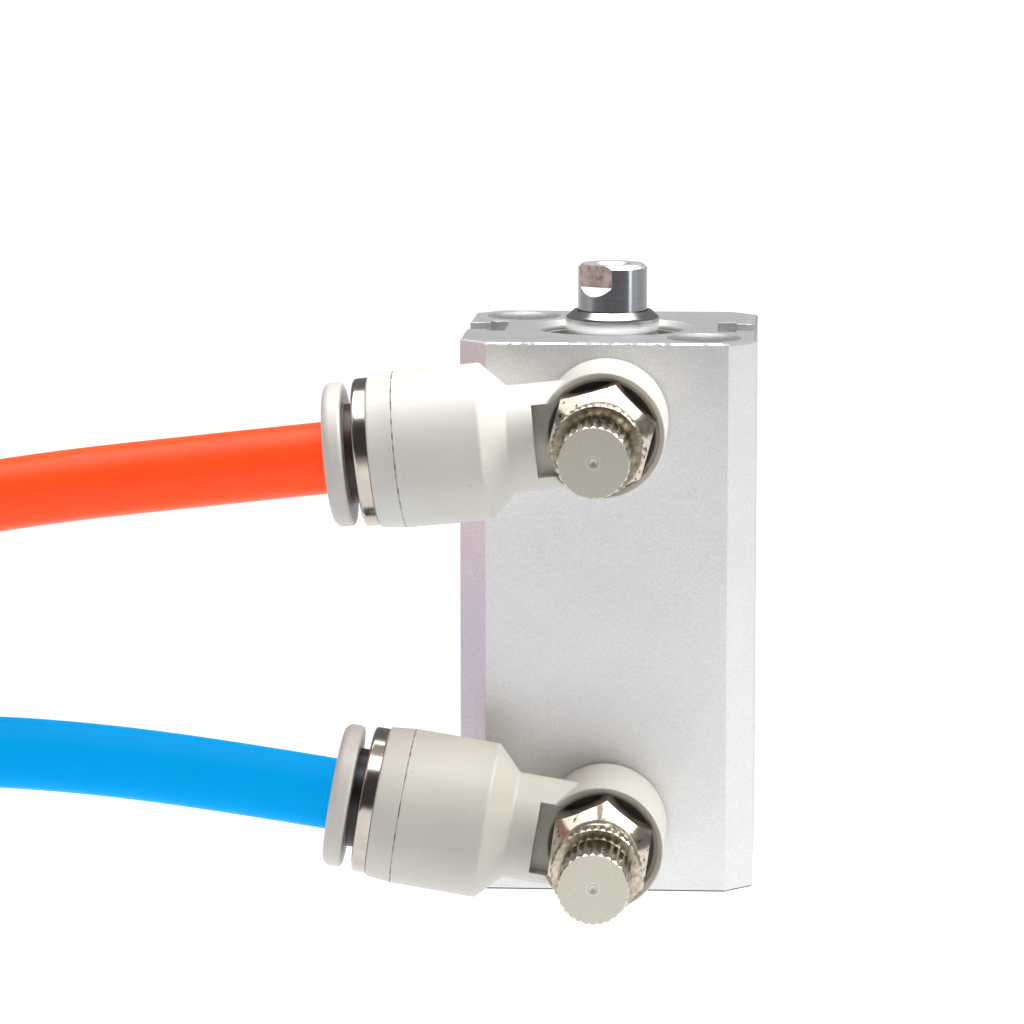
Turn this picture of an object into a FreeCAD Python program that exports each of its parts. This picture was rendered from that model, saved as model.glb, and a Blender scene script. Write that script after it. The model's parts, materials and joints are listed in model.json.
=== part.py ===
import FreeCAD, Part
import math
import os

from FreeCAD import Vector

# Compact pneumatic cylinder with two flow-control elbow fittings and their tubes.
# Millimetres. The origin is the centre of the barrel's bottom face, on the rod's axis, +Z along the rod.
# The ports face -Y, the tubes leave towards -X, and the sensor slots are in the two X faces.

# Barrel
body_width = 25.0
body_depth = 25.0
corner_chamfer = 2.3
edge_break = 0.15
bore_diameter = 12.0
stroke = 30.0
seat_ledge = 0.5
seat_bevel = 0.5
front_seat_depth = 5.3
rear_seat_depth = 4.6
slot_mouth = 5.2
slot_undercut = 1.1
slot_lip = 1.8
slot_depth = 3.4
mount_pitch = 16.2
mount_hole_diameter = 4.1
counterbore_diameter = 6.5
counterbore_depth = 4.5
port_diameter = 5.0
port_depth = 4.6
front_port_inset = 6.45
rear_port_inset = 5.95
passage_diameter = 2.0
passage_margin = 0.4

# Circlips
circlip_thickness = 1.0
circlip_width = 1.25
circlip_groove_depth = 0.6
circlip_inset = 0.75
circlip_gap_angle = 50.0
circlip_lug_radius = 0.95
circlip_lug_hole = 0.8
front_circlip_turn = -30.0
rear_circlip_turn = 150.0

# Covers, bush and bumpers
boss_height = 1.5
boss_wall = 0.3
boss_bevel_width = 0.7
boss_bevel_height = 0.6
bush_wall = 0.7
bush_length = 2.6
rod_seal_section = 0.75
rod_seal_length = 1.9
rod_seal_depth = 1.0
rear_bumper_thickness = 0.4
front_bumper_thickness = 0.5
bumper_width = 1.6

# Piston and rod
rod_diameter = 6.0
rod_stickout = 5.5
rod_chamfer = 0.35
rod_flats = 5.0
rod_flat_height = 1.9
rod_flat_runout = 0.9
rod_flat_turn = 238.0
rod_thread_drill = 2.5
rod_thread_depth = 6.0
rod_countersink = 0.35
spigot_diameter = 4.0
piston_length = 3.9
piston_chamfer = 0.8
piston_land = 0.55
seal_groove_width = 1.5
seal_groove_depth = 1.3
wear_ring_width = 1.0
wear_ring_thickness = 0.7
magnet_thickness = 1.5
magnet_diameter = 8.5
retainer_thickness = 0.7
piston_screw_diameter = 2.5
piston_screw_length = 5.0
piston_screw_land = 0.15
socket_bevel = 0.35

# Small O-rings
oring_section = 1.0
needle_oring_section = 0.55

# Screw body of a fitting, from the port face outward
stem_length = 3.6
stem_bore = 2.0
gasket_thickness = 0.7
gasket_width = 1.0
barrel_diameter = 7.0
lower_land = 1.4
oring_groove_width = 0.8
oring_groove_depth = 0.7
thin_land = 0.35
check_seal_width = 0.9
annulus_width = 1.6
annulus_depth = 0.5
upper_land = 2.3
cross_hole = 1.2
hex_across_flats = 8.0
hex_length = 4.4
hex_land = 0.1
hex_bevel_height = 1.5
neck_diameter = 6.4
neck_length = 3.6
neck_grooves = 2
neck_groove_width = 0.55
neck_groove_depth = 0.3
upper_hex_turn = 15.0
lower_hex_turn = 22.0

# Needle, lock nut and knob
needle_diameter = 3.3
needle_tip_length = 1.6
thread_pitch = 0.5
upper_turns_open = 3.0
lower_turns_open = 0.0
lock_nut_diameter = 7.5
lock_nut_thickness = 1.6
lock_nut_teeth = 40
knob_diameter = 5.9
knob_length = 5.3
knob_teeth = 28
knob_grip = 2.6
knurl_depth = 0.16
knurl_chamfer = 0.16
knob_dimple = 0.7
knob_dimple_depth = 0.06

# Elbow, from the screw's axis outward along the tube
ring_wall = 0.52
ring_sunk_hex = 0.8
face_gap = 0.3
elbow_neck_diameter = 8.9
elbow_neck_length = 7.7
elbow_cone_length = 2.05
elbow_body_diameter = 13.05
elbow_body_length = 7.1
elbow_round = 0.3
body_clearance = 0.475
ring_bevel = 0.4
pocket_width = 6.0
pocket_depth = 1.1
crown_cut_margin = 0.8
elbow_passage = 2.4
socket_wall = 1.525
tube_pilot = 1.5
tube_seal_length = 2.3
collet_length = 1.1
collet_slots = 8
collet_slot_width = 0.6
collar_length = 2.15
collar_end_diameter = 12.6
metal_ring_diameter = 12.3
metal_ring_thickness = 1.25
metal_ring_wall = 0.7
sleeve_flange_diameter = 12.0
sleeve_flange_thickness = 1.62
sleeve_push = 0.8
upper_tilt = -5.7
lower_tilt = 9.45

# Tubes, their coils and the ties
tube_diameter = 6.0
tube_bore = 4.0
coil_radius = 30.0
coil_center_x = -95.0
coil_layers = 2
tie_thickness = 0.6
tie_width = 4.0
tie_turns = (60.0, 210.0)
# Routes as (x, z) in the plane of the fittings' tube axes, from the last straight point to the coil
upper_route = ((-50.5, 34.9), (-66.0, 31.4), (-80.0, 25.2))
lower_route = ((-46.5, 12.85), (-60.0, 13.0), (-70.5, 10.8), (-82.0, 9.7))
straight_out = 7.0

# Edge roundings and bevels
fine_round = 0.1
soft_round = 0.2
lip_round = 0.3
flange_round = 0.7
stem_bevel = 0.4

# Clearances
flat_gap = 0.05
running_gap = 0.05
swivel_gap = 0.08
seal_gap = 0.03
tube_gap = 0.1
seat_gap = 0.02
sleeve_stop_gap = 0.1
lay_gap = 0.1
nut_gap = 0.1
knob_gap = 0.3

# Derived: barrel and piston levels
rod_radius = rod_diameter / 2
bore_radius = bore_diameter / 2
seat_radius = bore_radius + seat_ledge
groove_radius = seat_radius + circlip_groove_depth
piston_stack = retainer_thickness + magnet_thickness + piston_length
rear_stop = rear_seat_depth + rear_bumper_thickness
body_height = rear_stop + piston_stack + stroke + 2 * flat_gap + front_bumper_thickness + front_seat_depth
front_ledge = body_height - front_seat_depth
piston_bottom = rear_stop + flat_gap
magnet_bottom = piston_bottom + retainer_thickness
piston_base = magnet_bottom + magnet_thickness
piston_top = piston_base + piston_length
rod_top = body_height + rod_stickout
rear_port_z = rear_port_inset
front_port_z = body_height - front_port_inset

# Derived: levels on a fitting's screw, measured from the port face
lower_groove = gasket_thickness + lower_land
check_groove = lower_groove + oring_groove_width + thin_land
annulus_start = check_groove + check_seal_width + thin_land
annulus_middle = annulus_start + annulus_width / 2
upper_groove = annulus_start + annulus_width + upper_land
hex_seat = upper_groove + oring_groove_width + thin_land
hex_end = hex_seat + hex_length
neck_end = hex_end + neck_length
lock_nut_start = neck_end + nut_gap
lock_nut_end = lock_nut_start + lock_nut_thickness
knob_start = lock_nut_end + knob_gap
hex_corner = hex_across_flats / math.sqrt(3)
barrel_radius = barrel_diameter / 2
needle_radius = needle_diameter / 2
needle_seat = gasket_thickness + lower_land / 2

# Derived: levels on an elbow
recess_radius = hex_corner + tube_gap
ring_radius = recess_radius + ring_wall
ring_top = hex_seat + ring_sunk_hex
body_radius = elbow_body_diameter / 2
tube_axis = body_radius + body_clearance
tube_radius = tube_diameter / 2
cone_end = elbow_neck_length + elbow_cone_length
body_end = cone_end + elbow_body_length
tube_stop = cone_end
seal_seat = tube_stop + tube_pilot
collet_seat = seal_seat + tube_seal_length
clamp_seat = collet_seat + collet_length
collar_end = body_end + collar_length
ring_end = collar_end + metal_ring_thickness
sleeve_flange_start = ring_end + sleeve_push + sleeve_stop_gap
sleeve_end = sleeve_flange_start + sleeve_flange_thickness
socket_radius = body_radius - socket_wall
clamp_radius = socket_radius - running_gap
sleeve_radius = clamp_radius - metal_ring_wall - tube_gap

# Derived: coils
tube_plane_y = -body_depth / 2 - tube_axis
coil_center_y = tube_plane_y + coil_radius
layer_pitch = tube_diameter + lay_gap
coil_height = tube_diameter + (coil_layers - 1) * layer_pitch
lower_coil_z = tie_thickness + lay_gap
upper_coil_z = lower_coil_z + coil_height + lay_gap

X_AXIS = Vector(1, 0, 0)
Y_AXIS = Vector(0, 1, 0)
Z_AXIS = Vector(0, 0, 1)


def ring(low, high, outer, inner=0.0):
    """An upright cylinder from low to high, hollow if it has an inner radius."""
    solid = Part.makeCylinder(outer, high - low, Vector(0, 0, low))
    if inner > 0:
        margin = high - low
        solid = solid.cut(Part.makeCylinder(inner, high - low + 2 * margin, Vector(0, 0, low - margin)))
    return solid


def bar(radius, start, end):
    """A round bar between two points."""
    return Part.makeCylinder(radius, (end - start).Length, start, end - start)


def turned(*corners):
    """A turned piece: corners are (radius, height) or (radius, height, rounding) round its section."""
    count = len(corners)
    points = [Vector(corner[0], 0, corner[1]) for corner in corners]
    rounds = [corner[2] if len(corner) > 2 else 0.0 for corner in corners]
    edges = []
    joints = []
    for index in range(count):
        here = points[index]
        back = points[index - 1] - here
        ahead = points[(index + 1) % count] - here
        if rounds[index] > 0:
            half = back.getAngle(ahead) / 2
            reach = rounds[index] / math.tan(half)
            start = here + back.normalize() * reach
            end = here + ahead.normalize() * reach
            middle = (back + ahead).normalize()
            depth = rounds[index] / math.sin(half) - rounds[index]
            joints.append((start, here + middle * depth, end))
        else:
            joints.append((here, None, here))
    for index in range(count):
        start, middle, end = joints[index]
        if middle is not None:
            edges.append(Part.Arc(start, middle, end).toShape())
        following = joints[(index + 1) % count][0]
        edges.append(Part.LineSegment(end, following).toShape())
    return Part.Face(Part.Wire(edges)).revolve(Vector(0, 0, 0), Z_AXIS, 360)


def oring(level, inner, outer):
    """An O-ring that fills the room between two radii."""
    section = (outer - inner) / 2
    return Part.makeTorus(inner + section, section, Vector(0, 0, level), Z_AXIS)


def hexagon(low, high, across_flats, turn, bevel_width, bevel_height):
    """A hexagonal bar with its outer corners turned off at the far end."""
    corner = across_flats / math.sqrt(3)
    points = []
    for index in range(7):
        angle = math.radians(turn + 60 * index)
        points.append(Vector(corner * math.cos(angle), corner * math.sin(angle), low))
    prism = Part.Face(Part.makePolygon(points)).extrude(Vector(0, 0, high - low))
    shaping = turned((0, low), (corner, low), (corner, high - bevel_height),
                     (corner - bevel_width, high), (0, high))
    return prism.common(shaping)


def knurled(low, high, radius, teeth):
    """A disc with straight V-shaped grip teeth and bevelled ends."""
    points = []
    for index in range(2 * teeth):
        angle = math.pi * index / teeth
        reach = radius - knurl_depth * (index % 2)
        points.append(Vector(reach * math.cos(angle), reach * math.sin(angle), low))
    points.append(points[0])
    grip = Part.Face(Part.makePolygon(points)).extrude(Vector(0, 0, high - low))
    bevel = radius - knurl_chamfer
    shaping = turned((0, low), (bevel, low), (radius, low + knurl_chamfer),
                     (radius, high - knurl_chamfer), (bevel, high), (0, high))
    return grip.common(shaping)


def circlip(low, turn):
    """A sprung ring open on one side, with a holed lug at each end."""
    outer = groove_radius - running_gap
    inner = outer - circlip_width
    half_gap = math.radians(circlip_gap_angle / 2)
    clip = ring(low, low + circlip_thickness, outer, inner)
    reach = 2 * outer
    spread = reach * math.tan(half_gap)
    wedge = [Vector(0, 0, low), Vector(reach, -spread, low), Vector(reach, spread, low), Vector(0, 0, low)]
    clip = clip.cut(Part.Face(Part.makePolygon(wedge)).extrude(Vector(0, 0, circlip_thickness)))
    for side in (-1, 1):
        angle = side * (half_gap + circlip_lug_radius / inner)
        center = inner + circlip_width - circlip_groove_depth - circlip_lug_radius
        spot = Vector(center * math.cos(angle), center * math.sin(angle), low)
        clip = clip.fuse(Part.makeCylinder(circlip_lug_radius, circlip_thickness, spot))
        clip = clip.cut(Part.makeCylinder(circlip_lug_hole / 2, circlip_thickness, spot))
    clip.rotate(Vector(0, 0, 0), Z_AXIS, turn)
    return clip.removeSplitter()


def make_barrel():
    half_width = body_width / 2
    half_depth = body_depth / 2
    flat_x = half_width - corner_chamfer
    flat_y = half_depth - corner_chamfer
    outline = [(flat_x, -half_depth), (half_width, -flat_y), (half_width, flat_y), (flat_x, half_depth),
               (-flat_x, half_depth), (-half_width, flat_y), (-half_width, -flat_y), (-flat_x, -half_depth)]
    points = [Vector(x, y, 0) for x, y in outline + outline[:1]]
    block = Part.Face(Part.makePolygon(points)).extrude(Vector(0, 0, body_height))
    rims = [edge for edge in block.Edges if abs(edge.Vertexes[0].Z - edge.Vertexes[1].Z) < edge_break]
    block = block.makeChamfer(edge_break, rims)
    cuts = [ring(-1, body_height + 1, bore_radius),
            ring(-1, rear_seat_depth, seat_radius),
            ring(front_ledge, body_height + 1, seat_radius)]
    for low in (circlip_inset, body_height - circlip_inset - circlip_thickness):
        cuts.append(ring(low - flat_gap, low + circlip_thickness + flat_gap, groove_radius))
    for end, bevel_foot in ((0, seat_bevel), (body_height, body_height - seat_bevel)):
        cuts.append(turned((0, bevel_foot), (seat_radius, bevel_foot), (seat_radius + seat_bevel, end), (0, end)))
    for side in (-1, 1):
        corner = Vector(side * mount_pitch / 2, -side * mount_pitch / 2, 0)
        for diameter, low, high in ((mount_hole_diameter, -1, body_height + 1),
                                    (counterbore_diameter, -1, counterbore_depth),
                                    (counterbore_diameter, body_height - counterbore_depth, body_height + 1)):
            hole = ring(low, high, diameter / 2)
            hole.translate(corner)
            cuts.append(hole)
        for width, near, far in ((slot_mouth, 0, slot_depth),
                                 (slot_mouth + 2 * slot_undercut, slot_lip, slot_depth)):
            outer = half_width - near + (1 if near == 0 else 0)
            inner = half_width - far
            slot = Part.makeBox(outer - inner, width, body_height + 2, Vector(inner, -width / 2, -1))
            if side < 0:
                slot.rotate(Vector(0, 0, 0), Z_AXIS, 180)
            cuts.append(slot)
    front_passage = front_ledge - passage_margin - passage_diameter / 2
    rear_passage = rear_seat_depth + passage_margin + passage_diameter / 2
    for port_z, passage_z in ((front_port_z, front_passage), (rear_port_z, rear_passage)):
        mouth = Vector(0, -half_depth - 1, port_z)
        cuts.append(bar(port_diameter / 2, mouth, Vector(0, -half_depth + port_depth, port_z)))
        cuts.append(bar(passage_diameter / 2, Vector(0, -half_depth + port_depth / 2, passage_z),
                        Vector(0, 0, passage_z)))
    return block.cut(cuts)


def make_front_end():
    cover_top = body_height - circlip_inset - circlip_thickness - flat_gap
    plug_radius = seat_radius - seat_gap
    boss_radius = rod_radius + rod_seal_section + boss_wall
    boss_top = body_height + boss_height
    bush_radius = rod_radius + bush_wall
    seal_radius = rod_radius + rod_seal_section
    seal_top = boss_top - rod_seal_depth
    seal_bottom = seal_top - rod_seal_length
    groove_middle = (front_ledge + cover_top) / 2
    cover = turned((0, front_ledge), (plug_radius, front_ledge), (plug_radius, cover_top, fine_round),
                   (boss_radius, cover_top, soft_round),
                   (boss_radius, boss_top - boss_bevel_height, soft_round),
                   (boss_radius - boss_bevel_width, boss_top, fine_round), (0, boss_top))
    groove = oring_section + 2 * flat_gap
    cover = cover.cut([
        ring(front_ledge - 1, boss_top + 1, rod_radius + tube_gap),
        ring(front_ledge - 1, front_ledge + bush_length, bush_radius + seat_gap),
        ring(seal_bottom - flat_gap, seal_top + flat_gap, seal_radius + seat_gap),
        ring(groove_middle - groove / 2, groove_middle + groove / 2, seat_radius,
             seat_radius - oring_section)])
    bush = ring(front_ledge, front_ledge + bush_length, bush_radius, rod_radius + running_gap)
    lip = rod_seal_section / 3
    seal = turned((rod_radius + seal_gap, seal_bottom), (rod_radius + lip, seal_bottom),
                  (rod_radius + 1.5 * lip, seal_bottom + lip), (seal_radius - lip / 2, seal_bottom),
                  (seal_radius, seal_bottom), (seal_radius, seal_top), (rod_radius + lip, seal_top),
                  (rod_radius + seal_gap, seal_top - lip))
    cover_oring = oring(groove_middle, seat_radius - oring_section + seat_gap, seat_radius - seat_gap)
    bumper = ring(front_ledge - front_bumper_thickness, front_ledge,
                  rod_radius + bush_wall + bumper_width, rod_radius + bush_wall)
    return {"front_cover": cover, "rod_bush": bush, "rod_seal": seal, "front_cover_oring": cover_oring,
            "front_bumper": bumper,
            "front_circlip": circlip(body_height - circlip_inset - circlip_thickness, front_circlip_turn)}


def make_rear_end():
    cover_bottom = circlip_inset + circlip_thickness + flat_gap
    groove_middle = (cover_bottom + rear_seat_depth) / 2
    groove = oring_section + 2 * flat_gap
    cover = turned((0, cover_bottom), (seat_radius - seat_gap, cover_bottom, fine_round),
                   (seat_radius - seat_gap, rear_seat_depth), (0, rear_seat_depth))
    cover = cover.cut(ring(groove_middle - groove / 2, groove_middle + groove / 2,
                           seat_radius, seat_radius - oring_section))
    cover_oring = oring(groove_middle, seat_radius - oring_section + seat_gap, seat_radius - seat_gap)
    outer = magnet_diameter / 2
    bumper = ring(rear_seat_depth, rear_stop, outer, outer - bumper_width)
    return {"rear_cover": cover, "rear_cover_oring": cover_oring, "rear_bumper": bumper,
            "rear_circlip": circlip(circlip_inset, rear_circlip_turn)}


def make_rod():
    rod = turned((0, magnet_bottom), (spigot_diameter / 2, magnet_bottom), (spigot_diameter / 2, piston_top),
                 (rod_radius, piston_top), (rod_radius, rod_top - rod_chamfer),
                 (rod_radius - rod_chamfer, rod_top), (0, rod_top))
    flat = rod_flats / 2
    flat_bottom = rod_top - rod_flat_height
    reach = 2 * rod_radius
    side_view = [Vector(flat, -reach, rod_top + 1), Vector(flat, -reach, flat_bottom),
                 Vector(rod_radius + running_gap, -reach, flat_bottom - rod_flat_runout),
                 Vector(reach, -reach, flat_bottom - rod_flat_runout), Vector(reach, -reach, rod_top + 1)]
    wedge = Part.Face(Part.makePolygon(side_view + side_view[:1])).extrude(Vector(0, 2 * reach, 0))
    for turn in (rod_flat_turn, rod_flat_turn + 180):
        cutter = wedge.copy()
        cutter.rotate(Vector(0, 0, 0), Z_AXIS, turn)
        rod = rod.cut(cutter)
    rod = rod.cut(ring(rod_top - rod_thread_depth, rod_top + 1, rod_thread_drill / 2))
    mouth = rod_thread_drill / 2 + rod_countersink
    countersink = turned((0, rod_top), (mouth, rod_top), (0, rod_top - mouth))
    screw_hole = ring(magnet_bottom - 1, piston_bottom + piston_screw_length + knob_gap,
                      piston_screw_diameter / 2 + seat_gap)
    return rod.cut([countersink, screw_hole])


def make_piston():
    outer = bore_radius - running_gap
    hole = spigot_diameter / 2 + seat_gap
    wear_low = piston_base + piston_land
    wear_high = wear_low + wear_ring_width
    seal_high = piston_top - piston_land
    seal_low = seal_high - seal_groove_width
    wear_inner = bore_radius - seal_gap - wear_ring_thickness
    seal_inner = bore_radius - seal_groove_depth
    bevel = piston_chamfer / 2
    piston = turned((hole, piston_base), (outer, piston_base, fine_round), (outer, piston_top - bevel),
                    (outer - bevel, piston_top), (hole, piston_top))
    for low, high, inner in ((wear_low, wear_high, wear_inner), (seal_low, seal_high, seal_inner)):
        piston = piston.cut(ring(low - flat_gap, high + flat_gap, bore_radius, inner - running_gap))
    wear_ring = ring(wear_low, wear_high, bore_radius - seal_gap, wear_inner)
    seal_outer = bore_radius - seal_gap
    seal_waist = (seal_inner + 3 * seal_outer) / 4
    piston_seal = turned((seal_inner, seal_low), (seal_outer, seal_low),
                         (seal_waist, (seal_low + seal_high) / 2), (seal_outer, seal_high),
                         (seal_inner, seal_high))
    magnet = ring(magnet_bottom, piston_base, magnet_diameter / 2, hole)
    shank = piston_screw_diameter / 2
    sink = retainer_thickness - piston_screw_land
    head = shank + sink
    sunk_hole = turned((0, piston_bottom - 1), (head + seat_gap, piston_bottom - 1),
                       (head + seat_gap, piston_bottom), (shank + seat_gap, piston_bottom + sink),
                       (shank + seat_gap, magnet_bottom + 1), (0, magnet_bottom + 1))
    retainer = ring(piston_bottom, magnet_bottom, magnet_diameter / 2).cut(sunk_hole)
    screw = turned((0, piston_bottom), (head, piston_bottom), (shank, piston_bottom + sink),
                   (shank, piston_bottom + piston_screw_length), (0, piston_bottom + piston_screw_length))
    socket = hexagon(piston_bottom - 1, piston_bottom + sink - piston_screw_land, shank, 0,
                     2 * socket_bevel, socket_bevel)
    return {"piston": piston, "wear_ring": wear_ring, "piston_seal": piston_seal, "magnet": magnet,
            "magnet_retainer": retainer, "piston_screw": screw.cut(socket)}


def make_screw(hex_turn, turns_open):
    """The screw body that holds an elbow to its port, with what turns and seals on it."""
    stem = port_diameter / 2 - running_gap
    neck = neck_diameter / 2
    head = hexagon(hex_seat, hex_end, hex_across_flats, hex_turn, hex_corner - neck - hex_land,
                   hex_bevel_height)
    shank = turned((0, -stem_length), (stem - stem_bevel, -stem_length), (stem, -stem_length + stem_bevel),
                   (stem, gasket_thickness), (barrel_radius, gasket_thickness, fine_round),
                   (barrel_radius, hex_seat), (neck, hex_seat), (neck, neck_end, soft_round), (0, neck_end))
    body = shank.fuse(head)
    bore = needle_radius + tube_gap
    groove_floor = barrel_radius - oring_groove_depth
    annulus_floor = barrel_radius - annulus_depth
    cuts = [ring(-stem_length - 1, needle_seat + 1, stem_bore / 2),
            turned((0, needle_seat), (stem_bore / 2, needle_seat), (bore, needle_seat + 1),
                   (bore, neck_end + 1), (0, neck_end + 1)),
            ring(annulus_start, annulus_start + annulus_width, barrel_radius + 1, annulus_floor)]
    for low, width in ((lower_groove, oring_groove_width), (check_groove, check_seal_width),
                       (upper_groove, oring_groove_width)):
        cuts.append(ring(low, low + width, barrel_radius + 1, groove_floor))
    groove_pitch = neck_length / (neck_grooves + 1)
    for index in range(neck_grooves):
        low = hex_end + (index + 1) * groove_pitch - neck_groove_width / 2
        cuts.append(turned((neck - neck_groove_depth, low + neck_groove_width / 2),
                           (neck + flat_gap, low), (neck + flat_gap, low + neck_groove_width)))
    for direction in (X_AXIS, Y_AXIS):
        start = Vector(0, 0, annulus_middle) - direction * barrel_radius
        cuts.append(bar(cross_hole / 2, start, start + direction * barrel_diameter))
    body = body.cut(cuts).removeSplitter()

    seal_outer = barrel_radius + swivel_gap - seal_gap
    seal_inner = groove_floor + seat_gap
    orings = Part.makeCompound([oring(low + oring_groove_width / 2, seal_inner, seal_outer)
                                for low in (lower_groove, upper_groove)])
    check_low = check_groove + flat_gap
    check_high = check_groove + check_seal_width - flat_gap
    lip = (seal_outer - seal_inner) / 3
    check_seal = turned((seal_inner, check_low), (seal_inner + 2 * lip, check_low),
                        (seal_outer, check_high - lip / 2), (seal_outer, check_high),
                        (seal_outer - lip, check_high), (seal_inner + lip, check_low + lip),
                        (seal_inner + lip, check_high), (seal_inner, check_high))
    gasket = ring(0, gasket_thickness, stem + gasket_width, stem + running_gap)

    lift = turns_open * thread_pitch
    tip = needle_seat + flat_gap + lift
    shoulder = tip + needle_tip_length
    ring_middle = hex_seat + hex_length / 4 + lift
    groove_half = needle_oring_section / 2 + flat_gap
    needle_top = knob_start + lift + knob_grip
    needle = turned((0, tip), (stem_bore / 4, tip), (needle_radius, shoulder), (needle_radius, needle_top),
                    (0, needle_top))
    needle_groove = needle_radius + tube_gap - needle_oring_section
    needle = needle.cut(ring(ring_middle - groove_half, ring_middle + groove_half, bore,
                             needle_groove - seal_gap))
    needle_oring = oring(ring_middle, needle_groove, bore - seal_gap)
    lock_nut = knurled(lock_nut_start, lock_nut_end, lock_nut_diameter / 2, lock_nut_teeth)
    lock_nut = lock_nut.cut(ring(lock_nut_start - 1, lock_nut_end + 1, bore))
    knob_low = knob_start + lift
    knob_end = knob_low + knob_length
    knob = knurled(knob_low, knob_end, knob_diameter / 2, knob_teeth)
    dimple = turned((0, knob_end), (knob_dimple / 2, knob_end), (0, knob_end - knob_dimple_depth))
    knob = knob.cut([ring(knob_low - 1, needle_top, needle_radius + seat_gap), dimple])
    return {"screw_body": body, "gasket": gasket, "elbow_orings": orings, "check_seal": check_seal,
            "needle": needle, "needle_oring": needle_oring, "lock_nut": lock_nut, "knob": knob}


def along_tube(shape):
    """Lays a piece that was turned upright along the tube's axis of its fitting."""
    shape = shape.copy()
    shape.rotate(Vector(0, 0, 0), Y_AXIS, 90)
    shape.translate(Vector(0, 0, tube_axis))
    return shape


def make_elbow():
    """The moulded elbow with its tube socket, and the pieces in the socket."""
    bore = barrel_radius + swivel_gap
    neck_radius = elbow_neck_diameter / 2
    banjo = turned((0, face_gap), (ring_radius, face_gap, elbow_round), (ring_radius, ring_top, fine_round),
                   (0, ring_top))
    arm = turned((0, 0), (neck_radius, 0), (neck_radius, elbow_neck_length, elbow_round),
                 (body_radius, cone_end, elbow_round), (body_radius, body_end), (0, body_end))
    crown_reach = recess_radius + crown_cut_margin
    crown = Part.makeBox(2 * crown_reach, 2 * body_radius, body_radius,
                         Vector(-crown_reach, -body_radius, ring_top))
    socket = turned((0, tube_stop), (tube_radius + tube_gap, tube_stop), (tube_radius + tube_gap, seal_seat),
                    (socket_radius, seal_seat), (socket_radius, body_end + 1), (0, body_end + 1))
    duct = bar(elbow_passage / 2, Vector(0, 0, annulus_middle),
               Vector(tube_stop + tube_pilot / 2, 0, annulus_middle))
    bevel = turned((0, ring_top - ring_bevel), (recess_radius, ring_top - ring_bevel),
                   (recess_radius + ring_bevel, ring_top), (0, ring_top))
    pocket = Part.makeBox(crown_reach, pocket_width, 2 * pocket_depth,
                          Vector(0, -pocket_width / 2, ring_top - pocket_depth))
    elbow = along_tube(arm).cut(crown).fuse(banjo)
    elbow = elbow.cut([ring(-1, ring_top + 1, bore), ring(hex_seat - nut_gap, ring_top + 1, recess_radius),
                       bevel, pocket, along_tube(socket), duct])

    tube_hole = tube_radius + tube_gap
    seal_inner = tube_radius + seal_gap
    tube_seal = turned((seal_inner, seal_seat), (clamp_radius, seal_seat), (clamp_radius, collet_seat),
                       (tube_radius + 2 * tube_gap, collet_seat),
                       (seal_inner, seal_seat + tube_seal_length / 2))
    collet = ring(collet_seat, clamp_seat, clamp_radius, tube_hole)
    collet_wall = clamp_radius - tube_hole
    notch = Part.makeBox(2 * collet_wall, collet_slot_width, collet_length,
                         Vector(tube_hole - 1.4 * collet_wall, -collet_slot_width / 2, collet_seat))
    for index in range(collet_slots):
        cutter = notch.copy()
        cutter.rotate(Vector(0, 0, 0), Z_AXIS, 360 * index / collet_slots)
        collet = collet.cut(cutter)
    collar = turned((socket_radius, body_end), (body_radius, body_end, fine_round),
                    (collar_end_diameter / 2, collar_end, soft_round), (socket_radius, collar_end))
    clamp_inner = clamp_radius - metal_ring_wall
    metal_ring = turned((clamp_inner, clamp_seat), (clamp_radius, clamp_seat), (clamp_radius, collar_end),
                        (metal_ring_diameter / 2, collar_end, fine_round),
                        (metal_ring_diameter / 2, ring_end, lip_round), (clamp_inner, ring_end, soft_round))
    sleeve_low = clamp_seat + sleeve_push + 2 * sleeve_stop_gap
    flange = sleeve_flange_diameter / 2
    sleeve = turned((tube_hole, sleeve_low), (sleeve_radius, sleeve_low, soft_round),
                    (sleeve_radius, sleeve_flange_start), (flange, sleeve_flange_start, lip_round),
                    (flange, sleeve_end, flange_round), (tube_hole, sleeve_end, lip_round))
    return {"elbow": elbow.removeSplitter(), "tube_seal": along_tube(tube_seal),
            "collet": along_tube(collet), "socket_collar": along_tube(collar),
            "metal_ring": along_tube(metal_ring), "release_sleeve": along_tube(sleeve)}


def placed(shape, port_z, tilt):
    """Turns a fitting's piece so that its screw points to -Y and its tube to -X, tilted up by an angle."""
    slope = math.radians(tilt)
    tube_way = Vector(-math.cos(slope), 0, math.sin(slope))
    screw_way = Vector(0, -1, 0)
    side_way = screw_way.cross(tube_way)
    matrix = FreeCAD.Matrix(tube_way.x, side_way.x, screw_way.x, 0,
                            tube_way.y, side_way.y, screw_way.y, -body_depth / 2,
                            tube_way.z, side_way.z, screw_way.z, port_z,
                            0, 0, 0, 1)
    shape = shape.copy()
    shape.Placement = FreeCAD.Placement(matrix).multiply(shape.Placement)
    return shape


def tube_points(port_z, tilt, route, coil_z):
    """The tube's points: from its stop in the socket, straight out, along its route and into its coil."""
    slope = math.radians(tilt)
    points = []
    for reach in (tube_stop + tube_gap, sleeve_end + straight_out):
        points.append(Vector(-reach * math.cos(slope), tube_plane_y, port_z + reach * math.sin(slope)))
    points += [Vector(x, tube_plane_y, z) for x, z in route]
    points.append(Vector(coil_center_x, tube_plane_y, coil_z + coil_height - tube_radius))
    return points


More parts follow.
